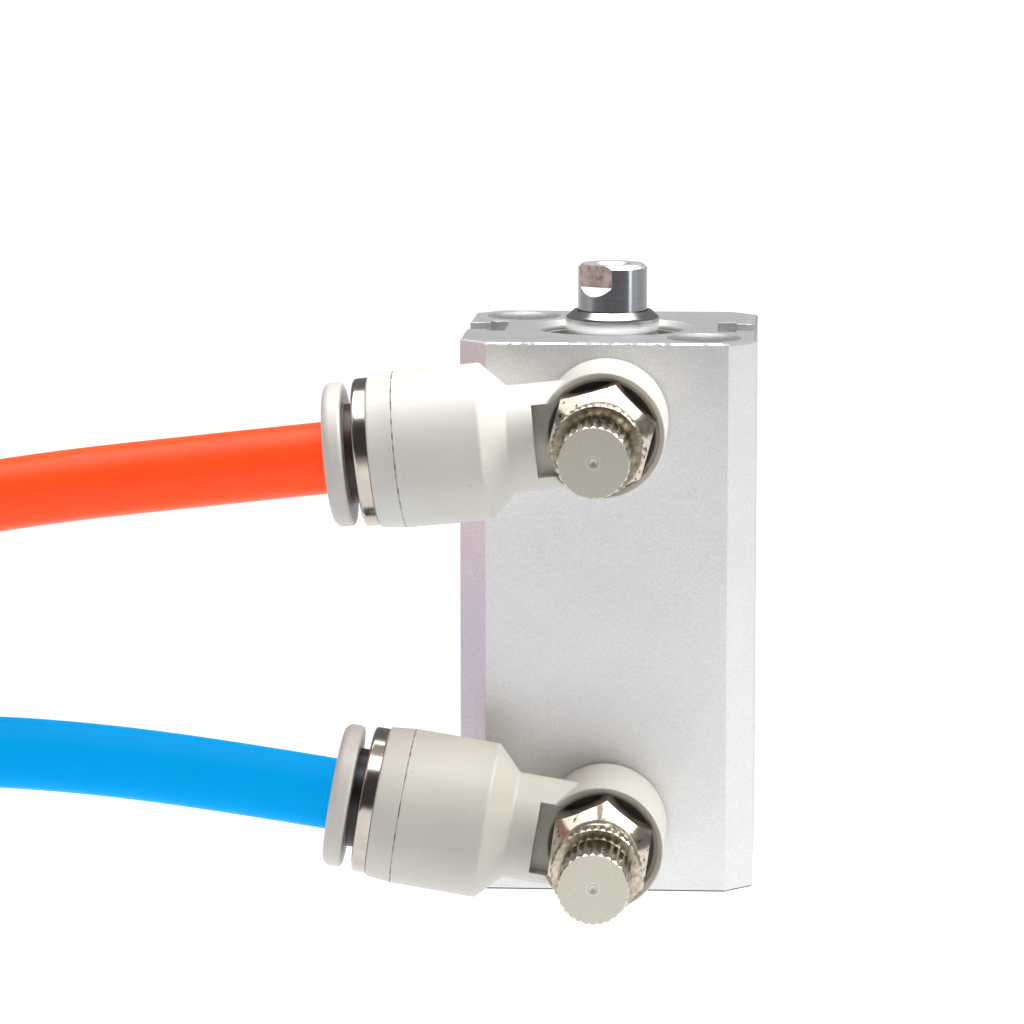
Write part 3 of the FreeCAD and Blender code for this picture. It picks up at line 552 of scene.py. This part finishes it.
def blasted_aluminium():
    """Fine pitted silver with ragged edges, faint larger clouds and paler turned seats."""
    material, tree = new_material("bead_blasted_anodised_aluminium", Metallic=1.0)
    place = add(tree, "ShaderNodeTexCoord")
    pits = add(tree, "ShaderNodeTexNoise",
               inputs={"Vector": (place, "Object"), "Scale": 1 / (PIT_MM * MM), "Detail": 3.0, "Roughness": 0.65})
    cloud = add(tree, "ShaderNodeTexNoise",
                inputs={"Vector": (place, "Object"), "Scale": 1 / (BLAST_CLOUD_MM * MM)})
    both = add(tree, "ShaderNodeMath", {"operation": "MULTIPLY_ADD"}, {0: cloud, 1: 0.25, 2: pits})
    tint = add(tree, "ShaderNodeValToRGB", inputs={"Fac": both}, stops=[(0.42, "#E2E2E3"), (0.82, "#F2F2F4")])
    sheen = add(tree, "ShaderNodeMapRange", inputs={"Value": pits, "To Min": 0.38, "To Max": 0.52})
    ragged = add(tree, "ShaderNodeTexNoise",
                 inputs={"Vector": (place, "Object"), "Scale": 1 / (BURR_MM * MM), "Detail": 4.0})
    burr = add(tree, "ShaderNodeMapRange", inputs={"Value": ragged, "From Min": 0.35, "From Max": 0.7,
                                                   "To Min": BURR_ROUND[0] * MM, "To Max": BURR_ROUND[1] * MM})
    heads = [add(tree, "ShaderNodeMath", {"operation": "LESS_THAN"},
                 {0: from_line(tree, "Z", centre), 1: HEAD_SEAT_RADIUS * MM}) for centre in HEAD_SEATS]
    counterbores = add(tree, "ShaderNodeMath", {"operation": "ADD"}, {0: heads[0], 1: heads[1]})
    rounding = add(tree, "ShaderNodeMath", {"operation": "MULTIPLY_ADD"},
                   {0: counterbores, 1: COUNTERBORE_ROUND * MM, 2: burr})
    edge = add(tree, "ShaderNodeBevel", {"samples": 4}, {"Radius": rounding})
    bump = add(tree, "ShaderNodeBump", inputs={"Strength": 0.35, "Distance": 0.03 * MM, "Height": pits,
                                               "Normal": edge})
    feed(tree, Base_Color=tint, Roughness=sheen, Normal=bump)
    way = add(tree, "ShaderNodeSeparateXYZ", inputs={"Vector": (place, "Normal")})
    lean = add(tree, "ShaderNodeMath", {"operation": "SUBTRACT"}, {0: (way, "Z"), 1: (way, "Y")})
    front_edge = add(tree, "ShaderNodeMath", {"operation": "GREATER_THAN"}, {0: lean, 1: FRONT_EDGE_LEAN})
    nick = add(tree, "ShaderNodeMath", {"operation": "GREATER_THAN"}, {0: ragged, 1: NICK_LEVEL})
    mark(tree, add(tree, "ShaderNodeMath", {"operation": "MULTIPLY"}, {0: front_edge, 1: nick}), "#8A8983")
    # The downward bevel at the foot is painted shade, dark where the body stands on the floor.
    painted_foot_shade = add(tree, "ShaderNodeMath", {"operation": "COMPARE"}, {0: (way, "Z"), 1: -SLANT, 2: SLANT_SPREAD})
    mark(tree, painted_foot_shade, "#5C5B59")
    left_bevel = add(tree, "ShaderNodeMath", {"operation": "COMPARE"},
                     {0: (way, "X"), 1: -SLANT, 2: SLANT_SPREAD})
    mark(tree, left_bevel, 0.6, "Roughness")
    cover_seat = add(tree, "ShaderNodeMath", {"operation": "LESS_THAN"},
                     {0: from_line(tree, "Z", BODY_AXIS), 1: SEAT_RADIUS * MM})
    for seat in (cover_seat, counterbores):
        mark(tree, seat, "#FAF9F7")
        mark(tree, seat, 0.55, "Roughness")
    return material


finishes = {"anodised_aluminium": blasted_aluminium()}
print("body finished in", finishes["anodised_aluminium"].name)

# %% [markdown]
# ## Plated and turned metal
# Chrome, nickel and stainless steel are all mirrors with a small blur. What tells them apart is the tint, the
# blur and the fine marks of how each was made, so one function makes them all. Its marks are noise, drawn out
# along the direction of the tool.

# %% Metal finishes
def metal(name, dark, light, blur, grain_mm, depth_mm, edge_mm):
    """A metal with tint, blur and tool marks; grain_mm is the size of the marks along each axis."""
    material, tree = new_material(name, Metallic=1.0)
    place = add(tree, "ShaderNodeTexCoord")
    drawn = add(tree, "ShaderNodeMapping", {"vector_type": "TEXTURE"},
                {"Vector": (place, "Object"), "Scale": [size * MM for size in grain_mm]})
    marks = add(tree, "ShaderNodeTexNoise", inputs={"Vector": drawn, "Scale": 1.0, "Detail": 3.0})
    tint = add(tree, "ShaderNodeValToRGB", inputs={"Fac": marks}, stops=[(0.3, dark), (0.7, light)])
    sheen = add(tree, "ShaderNodeMapRange", inputs={"Value": marks, "To Min": blur * 0.7, "To Max": blur * 1.3})
    edge = add(tree, "ShaderNodeBevel", {"samples": 4}, {"Radius": edge_mm * MM})
    bump = add(tree, "ShaderNodeBump", inputs={"Strength": 0.5, "Distance": depth_mm * MM, "Height": marks,
                                               "Normal": edge})
    feed(tree, Base_Color=tint, Roughness=sheen, Normal=bump)
    return material


# The covers show fine rings from the lathe under a clear skin.
finishes["turned_aluminium"] = metal("turned_clear_anodised_aluminium", "#B2B2B2", "#CCCCCC", blur=0.22,
                                     grain_mm=(3, 3, 0.15), depth_mm=0.006, edge_mm=0.12)
# The circlips are stamped, and zinc leaves them pale and dull.
finishes["spring_steel"] = metal("zinc_plated_spring_steel", "#C4C2BE", "#D6D4D0", blur=0.42,
                                 grain_mm=(0.4, 0.4, 0.4), depth_mm=0.01, edge_mm=0.08)
# The rod's bush is pressed powder, brown and grainy, and its oil gives a low shine.
finishes["sintered_bronze"] = metal("oiled_sintered_bronze", "#8A6A3C", "#B08A54", blur=0.45,
                                    grain_mm=(0.2, 0.2, 0.2), depth_mm=0.02, edge_mm=0.06)
# The rings in the sockets' mouths are drawn from bright sheet: a clear, warm mirror.
finishes["stainless_steel"] = metal("pressed_bright_stainless_steel", "#B2ABA1", "#BEB8AF", blur=0.16,
                                    grain_mm=(2, 2, 2), depth_mm=0.006, edge_mm=0.06)
print("metals", [finishes[slot].name for slot in finishes])

# %% [markdown]
# ## Nickel plate
# The screws and knobs are turned from brass and nickel plated: a warm bright mirror on the teeth and bevels, but
# the end faces show the lathe and stay dull. The finish starts from the common metal and masks the faces that look
# straight out along the screw. Near the middle the turning tool leaves a small dimple, drawn as fine rings whose
# white and dark tones are its painted highlight and painted shade, and small dark spots are tarnish where the plate
# is thin.
# On the lock nuts the nickel is worn, so brass shows through, and they have a finish of their own.

# %% Nickel
# Sizes are in mm. The grit of the end faces is drawn coarser than the real one, which would be too fine to show.
PORT_HEIGHT = {"upper": 40.55, "lower": 5.95}
END_FACE_WAY = -0.97
TARNISH_MM = 0.45
GRIT_MM = 0.2
RING_STRENGTH = 0.3
# Each ring's radius, half its width, and its colour: a painted highlight or painted shade of the dimple.
DIMPLE_LIGHT_AND_SHADE_RINGS = ((0.50, 0.05, "#FFFFFF"), (0.42, 0.05, "#6E6A60"), (0.16, 0.08, "#8A867C"))


def nickel_plate(level):
    """Bright nickel whose flat end faces are dull, with rings of painted highlight and shade round the centre."""
    material = metal(level + "_bright_nickel_plated_brass", "#B9B0A2", "#CBC3B6", blur=0.16,
                     grain_mm=(0.5, 0.5, 0.5), depth_mm=0.006, edge_mm=0.06)
    tree = material.node_tree
    place = add(tree, "ShaderNodeTexCoord")
    way = add(tree, "ShaderNodeSeparateXYZ", inputs={"Vector": (place, "Normal")})
    face = add(tree, "ShaderNodeMath", {"operation": "LESS_THAN"}, {0: (way, "Y"), 1: END_FACE_WAY})
    spots = add(tree, "ShaderNodeTexNoise",
                inputs={"Vector": (place, "Object"), "Scale": 1 / (TARNISH_MM * MM), "Detail": 4.0})
    tarnish = add(tree, "ShaderNodeMapRange", inputs={"Value": spots, "From Min": 0.58, "From Max": 0.68})
    mark(tree, tarnish, "#4E483E")
    mark(tree, face, "#BFBCB0")
    grit = add(tree, "ShaderNodeTexNoise",
               inputs={"Vector": (place, "Object"), "Scale": 1 / (GRIT_MM * MM), "Detail": 4.0})
    mark(tree, add(tree, "ShaderNodeMath", {"operation": "MULTIPLY"}, {0: face, 1: grit}), "#D2CFC4")
    mark(tree, face, 0.46, "Roughness")
    reach = from_line(tree, "Y", (0.0, 0.0, PORT_HEIGHT[level]))
    faint = add(tree, "ShaderNodeMath", {"operation": "MULTIPLY"}, {0: face, 1: RING_STRENGTH})
    # These rings are the painted highlight and painted shade of the centre dimple.
    for radius, half_width, tone in DIMPLE_LIGHT_AND_SHADE_RINGS:
        ring = add(tree, "ShaderNodeMath", {"operation": "COMPARE"}, {0: reach, 1: radius * MM, 2: half_width * MM})
        mark(tree, add(tree, "ShaderNodeMath", {"operation": "MULTIPLY"}, {0: faint, 1: ring}), tone)
    return material


worn_nickel = metal("worn_nickel_on_brass", "#94866F", "#CFC6B5", blur=0.22, grain_mm=(0.6, 0.6, 0.6),
                    depth_mm=0.006, edge_mm=0.06)
for level in PORT_HEIGHT:
    finishes[level + "_lock_nut"] = worn_nickel
    finishes[level, "nickel_plated_brass"] = nickel_plate(level)
    print(level, "screw finished in", finishes[level, "nickel_plated_brass"].name, "and", worn_nickel.name)

# %% [markdown]
# ## Ground chrome
# The rod is ground and hard chromed, a grey mirror with the finest rings. Its two wrench flats are milled through
# the chrome and left bare, so they are rougher and a little brown. A flat lies nearer to the axis than the round
# skin does, and that tells the mask where it is.

# %% Chrome
# Sizes are in mm.
ROD_RADIUS = 3.0
SKIN_DEPTH = 0.015
FLAT_FOOT = 49.6
STAIN_MM = 0.6
UPRIGHT_SPREAD = 0.05


def ground_chrome():
    """Hard chrome with bare milled wrench flats."""
    material = metal("ground_hard_chromed_steel", "#7B7D81", "#84868A", blur=0.15, grain_mm=(4, 4, 0.15),
                     depth_mm=0.0012, edge_mm=0.06)
    tree = material.node_tree
    place = add(tree, "ShaderNodeTexCoord")
    axes = add(tree, "ShaderNodeSeparateXYZ", inputs={"Vector": (place, "Object")})
    way = add(tree, "ShaderNodeSeparateXYZ", inputs={"Vector": (place, "Normal")})
    inside = add(tree, "ShaderNodeMath", {"operation": "LESS_THAN"},
                 {0: from_line(tree, "Z", BODY_AXIS), 1: (ROD_RADIUS - SKIN_DEPTH) * MM})
    high = add(tree, "ShaderNodeMath", {"operation": "GREATER_THAN"}, {0: (axes, "Z"), 1: FLAT_FOOT * MM})
    milled = add(tree, "ShaderNodeMath", {"operation": "MULTIPLY"}, {0: inside, 1: high})
    upright = add(tree, "ShaderNodeMath", {"operation": "COMPARE"}, {0: (way, "Z"), 1: 0.0, 2: UPRIGHT_SPREAD})
    mark(tree, milled, "#F4F1EE")
    mark(tree, milled, 0.40, "Roughness")
    flat = add(tree, "ShaderNodeMath", {"operation": "MULTIPLY"}, {0: milled, 1: upright})
    mark(tree, flat, "#CCC4BD")
    stain = add(tree, "ShaderNodeTexNoise",
                inputs={"Vector": (place, "Object"), "Scale": 1 / (STAIN_MM * MM), "Detail": 4.0})
    dirty = add(tree, "ShaderNodeMapRange", inputs={"Value": stain, "From Min": 0.4, "From Max": 0.7})
    mark(tree, add(tree, "ShaderNodeMath", {"operation": "MULTIPLY"}, {0: flat, 1: dirty}), "#8C827A")
    return material


finishes["chromed_steel"] = ground_chrome()
print("rod finished in", finishes["chromed_steel"].name)

# %% [markdown]
# ## Moulded resin and rubber
# The elbows and sleeves are injection moulded. Their skin copies the mould: satin, with a fine grain, rounded
# edges and faint clouds of tone. Light enters a little, which softens their shadows. Rubber uses the same recipe
# in black.

# %% Moulded finishes
# Sizes are in mm. The grain is drawn coarser than the mould's own, which would be too fine to show.
MOULD_CLOUD_MM = 4.0


def moulded(name, dark, light, blur, grain_mm, depth_mm, edge_mm, soft):
    """A moulded plastic or rubber with a grain of that size and depth."""
    material, tree = new_material(name, Subsurface_Weight=soft, Subsurface_Radius=(1.0, 0.9, 0.7),
                                  Subsurface_Scale=0.8 * MM)
    place = add(tree, "ShaderNodeTexCoord")
    cloud = add(tree, "ShaderNodeTexNoise",
                inputs={"Vector": (place, "Object"), "Scale": 1 / (MOULD_CLOUD_MM * MM), "Detail": 4.0})
    grain = add(tree, "ShaderNodeTexNoise", inputs={"Vector": (place, "Object"), "Scale": 1 / (grain_mm * MM)})
    tint = add(tree, "ShaderNodeValToRGB", inputs={"Fac": cloud}, stops=[(0.3, dark), (0.7, light)])
    sheen = add(tree, "ShaderNodeMapRange", inputs={"Value": cloud, "To Min": blur * 0.85, "To Max": blur * 1.15})
    edge = add(tree, "ShaderNodeBevel", {"samples": 4}, {"Radius": edge_mm * MM})
    bump = add(tree, "ShaderNodeBump", inputs={"Strength": 0.4, "Distance": depth_mm * MM, "Height": grain,
                                               "Normal": edge})
    feed(tree, Base_Color=tint, Roughness=sheen, Normal=bump)
    return material


# The magnet is pressed and fired: dark grey, dry and grainy.
finishes["sintered_magnet"] = moulded("sintered_ferrite_magnet", "#2C2C2E", "#3E3E40", blur=0.60, grain_mm=0.3,
                                      depth_mm=0.02, edge_mm=0.1, soft=0.0)
# The seals and bumpers are black and dull.
finishes["nitrile_rubber"] = moulded("moulded_nitrile_rubber", "#131313", "#1F1F1F", blur=0.65, grain_mm=0.2,
                                     depth_mm=0.01, edge_mm=0.05, soft=0.0)
# The piston's wear ring is cut from a yellowish, slightly waxy rod.
finishes["wear_ring_resin"] = moulded("machined_acetal_resin", "#BFB89B", "#CFC8AB", blur=0.45, grain_mm=0.3,
                                      depth_mm=0.01, edge_mm=0.05, soft=0.1)
moulded_slots = ("sintered_magnet", "nitrile_rubber", "wear_ring_resin")
print("moulded", [finishes[slot].name for slot in moulded_slots])

# %% [markdown]
# ## Marks on the fittings
# Where the elbow's two mouldings meet runs a fine line that has caught some dirt, so it looks dashed. Behind the
# pale flange of the release sleeve its hub is painted shade, dark, and on the upper fitting brown as a painted
# reflection of the red tube. Both lie at a fixed distance along the tube from the screw's axis, so the mask is that
# distance: a dot product with the tube's direction. The seat round the hexagon is painted shade, dark as the gap
# under the hexagon, and its mask is the distance from the screw's axis.

# %% Resin with marks
# Sizes are in mm, and the tilts are in degrees.
TUBE_TILT = {"upper": -5.7, "lower": 9.45}
# The hub behind each sleeve's flange is painted shade; the upper one's brown is a painted reflection of the red
# tube.
HUB_SHADE_COLOUR = {"upper": "#4A2E28", "lower": "#1E1C1C"}
# The lower elbow's tones are darker than the upper one's: painted shade, as it sits low by the floor and under the
# upper fitting.
RESIN_TONES_LOWER_SHADED = {"upper": ("#C6C4BE", "#CCCAC4"), "lower": ("#BAB8B0", "#C0BEB6")}
MOULD_GRAIN = {"grain_mm": 0.18, "depth_mm": 0.01, "soft": 0.15}
PARTING_REACH = 16.85
PARTING_HALF_WIDTH = 0.06
DIRT_MM = 0.7
FLANGE_REACH = 21.12
RECESS_RADIUS = 4.72
RECESS_MOUTH = -22.46
SEAT_SHADE_RIM = (0.15, 0.4)
SPECK_MM = 0.5
SPECK_LEVEL = 0.74
SPECK_STRENGTH = 0.25


def along_tube(tree, level):
    """Distance along the tube's axis from the axis of the fitting's screw."""
    slope = math.radians(TUBE_TILT[level])
    place = add(tree, "ShaderNodeTexCoord")
    walked = add(tree, "ShaderNodeVectorMath", {"operation": "DOT_PRODUCT"},
                 {0: (place, "Object"), 1: (-math.cos(slope), 0.0, math.sin(slope))})
    return add(tree, "ShaderNodeMath", {"operation": "SUBTRACT"},
               {0: (walked, "Value"), 1: PORT_HEIGHT[level] * MM * math.sin(slope)})


def elbow_resin(level):
    """Ivory resin with a dirty parting line, painted shade in the seat round the hexagon, and faint specks."""
    dark, light = RESIN_TONES_LOWER_SHADED[level]
    material = moulded(level + "_moulded_ivory_polybutylene", dark, light, blur=0.42, edge_mm=0.12, **MOULD_GRAIN)
    tree = material.node_tree
    place = add(tree, "ShaderNodeTexCoord")
    axes = add(tree, "ShaderNodeSeparateXYZ", inputs={"Vector": (place, "Object")})
    line = add(tree, "ShaderNodeMath", {"operation": "COMPARE"},
               {0: along_tube(tree, level), 1: PARTING_REACH * MM, 2: PARTING_HALF_WIDTH * MM})
    patchy = add(tree, "ShaderNodeTexNoise",
                 inputs={"Vector": (place, "Object"), "Scale": 1 / (DIRT_MM * MM), "Detail": 3.0})
    dirt = add(tree, "ShaderNodeMapRange", inputs={"Value": patchy, "From Min": 0.42, "From Max": 0.66})
    mark(tree, add(tree, "ShaderNodeMath", {"operation": "MULTIPLY"}, {0: line, 1: dirt}), "#4E4A44")
    # The seat round the hexagon is painted shade, dark as the gap under the hexagon.
    inside = add(tree, "ShaderNodeMapRange", {"interpolation_type": "SMOOTHSTEP"},
                 {"Value": from_line(tree, "Y", (0.0, 0.0, PORT_HEIGHT[level])),
                  "From Min": (RECESS_RADIUS - SEAT_SHADE_RIM[0]) * MM, "From Max": (RECESS_RADIUS - SEAT_SHADE_RIM[1]) * MM})
    deep = add(tree, "ShaderNodeMath", {"operation": "GREATER_THAN"}, {0: (axes, "Y"), 1: RECESS_MOUTH * MM})
    mark(tree, add(tree, "ShaderNodeMath", {"operation": "MULTIPLY"}, {0: inside, 1: deep}), "#38332A")
    dots = add(tree, "ShaderNodeTexNoise",
               inputs={"Vector": (place, "Object"), "Scale": 1 / (SPECK_MM * MM), "Detail": 1.0})
    speck = add(tree, "ShaderNodeMath", {"operation": "GREATER_THAN"}, {0: dots, 1: SPECK_LEVEL})
    mark(tree, add(tree, "ShaderNodeMath", {"operation": "MULTIPLY"}, {0: speck, 1: SPECK_STRENGTH}), "#8A857A")
    return material


def sleeve_resin(level):
    """Grey-white resin with painted shade on the hub behind the flange."""
    material = moulded(level + "_moulded_grey_white_acetal", "#BBB8B3", "#C1BEB9", blur=0.38, edge_mm=0.10,
                       **MOULD_GRAIN)
    tree = material.node_tree
    # Painted shade behind the flange, with a painted reflection of the red tube on the upper one.
    hub_shade = add(tree, "ShaderNodeMath", {"operation": "LESS_THAN"},
              {0: along_tube(tree, level), 1: FLANGE_REACH * MM})
    mark(tree, hub_shade, HUB_SHADE_COLOUR[level])
    return material


for level in PORT_HEIGHT:
    finishes[level, "ivory_resin"] = elbow_resin(level)
    finishes[level, "white_resin"] = sleeve_resin(level)
    print(level, "fitting finished in", [finishes[level, slot].name for slot in ("ivory_resin", "white_resin")])

# %% [markdown]
# ## Woven nylon
# The ties are narrow nylon tape in plain weave, each thread over one and under the next. Two sines at right angles
# give that: their product swells where a thread lies on top and changes sign from warp to weft. The hollows between
# threads are darker, which is painted shade. The strip carries its own coordinates, so the threads follow it round
# the coil.

# %% Nylon tape
THREAD_MM = 0.5


def nylon_tape():
    """Dull black tape with a plain weave of half-millimetre threads."""
    material, tree = new_material("woven_black_nylon", Roughness=0.7, Sheen_Weight=0.2)
    strip = add(tree, "ShaderNodeAttribute", {"attribute_name": STRIP_PLACE})
    axes = add(tree, "ShaderNodeSeparateXYZ", inputs={"Vector": (strip, "Vector")})
    waves = []
    for axis in "XY":
        turned = add(tree, "ShaderNodeMath", {"operation": "MULTIPLY"}, {0: (axes, axis), 1: math.pi / THREAD_MM})
        waves.append(add(tree, "ShaderNodeMath", {"operation": "SINE"}, {0: turned}))
    weave = add(tree, "ShaderNodeMath", {"operation": "MULTIPLY"}, {0: waves[0], 1: waves[1]})
    thread_swell_and_shade = add(tree, "ShaderNodeMath", {"operation": "ABSOLUTE"}, {0: weave})
    # Darker where the threads dip: painted shade in the weave's hollows.
    tint = add(tree, "ShaderNodeValToRGB", inputs={"Fac": thread_swell_and_shade}, stops=[(0.0, "#0A0A0B"), (1.0, "#2A2A2D")])
    bump = add(tree, "ShaderNodeBump", inputs={"Strength": 0.8, "Distance": 0.12 * MM, "Height": thread_swell_and_shade})
    feed(tree, Base_Color=tint, Normal=bump)
    return material


ties.data.materials.append(nylon_tape())
print("ties finished in", ties.data.materials[0].name)

# %% [markdown]
# ## A finish for every piece
# The record names a material slot for each solid. One table turns slots into finishes, so no piece is forgotten.
# A finish may be kept under a piece's own name, under a slot, or under a fitting and a slot. The only solids
# without one are those that the tubes and ties replace.

# %% Assign finishes
slot_of = {entry["node"]: entry["material_slot"] for entry in frame["record"]["subparts"]}
for name, node in nodes.items():
    slot = slot_of[name]
    finish = finishes.get(name) or finishes.get(slot) or finishes.get((name.split("_")[0], slot))
    if finish:
        node.data.materials.clear()
        node.data.materials.append(finish)
    else:
        print("replaced by a soft piece:", name, slot)
print(len(finishes), "finishes for", len(nodes), "solids")
